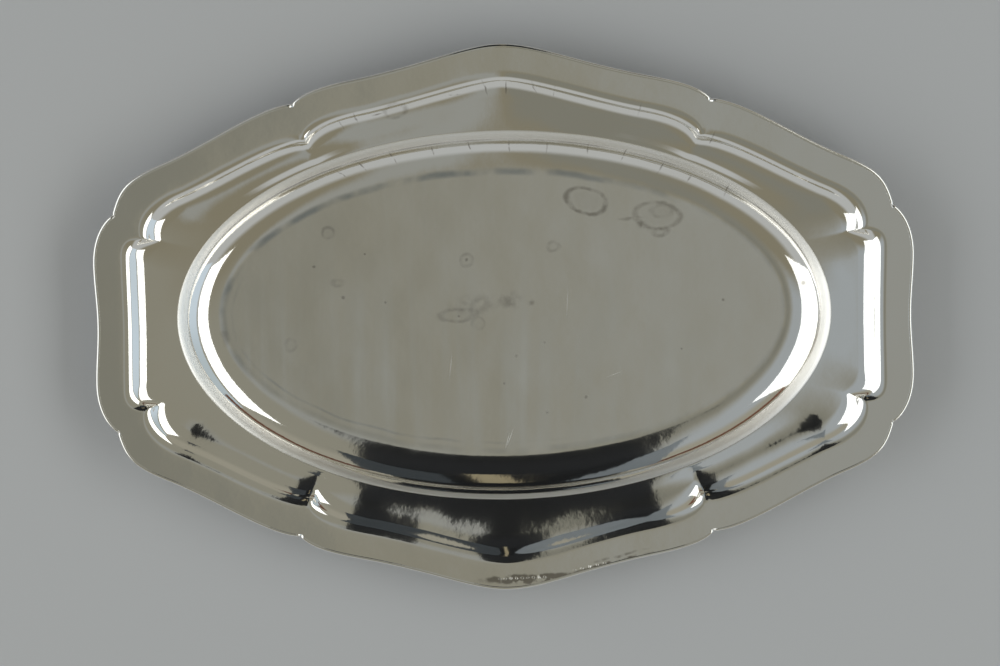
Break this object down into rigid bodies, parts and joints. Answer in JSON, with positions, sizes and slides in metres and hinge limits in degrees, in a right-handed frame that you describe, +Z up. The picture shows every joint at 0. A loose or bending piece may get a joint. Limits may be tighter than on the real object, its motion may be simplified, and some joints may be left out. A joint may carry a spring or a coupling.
{
  "type": "oval serving dish",
  "caption": "Oval silver meat dish with a shaped, lobed and cusped flat rim, a coved shoulder, a sloping flange and a deep oval well with a fine stepped moulding.",
  "frame": {"origin": "middle of the flat underside of the floor, on the surface that the dish stands on", "axes": "+X along the dish's length to the right, +Y across it to the back, +Z up out of the well"},
  "size_m": [0.4498, 0.3038, 0.0263],
  "materials": {
    "dish_silver": "polished silver sheet with fine scratches, water stains and a warm grey tarnish",
    "wire_silver": "bright polished silver wire, soldered round the edge"
  },
  "bodies": {
    "root": {"dish_body": "dish_silver", "edge_wire_right_back": "wire_silver", "edge_wire_back": "wire_silver", "edge_wire_left_back": "wire_silver", "edge_wire_left": "wire_silver", "edge_wire_left_front": "wire_silver", "edge_wire_front": "wire_silver", "edge_wire_right_front": "wire_silver", "edge_wire_right": "wire_silver"}
  },
  "joints": []
}
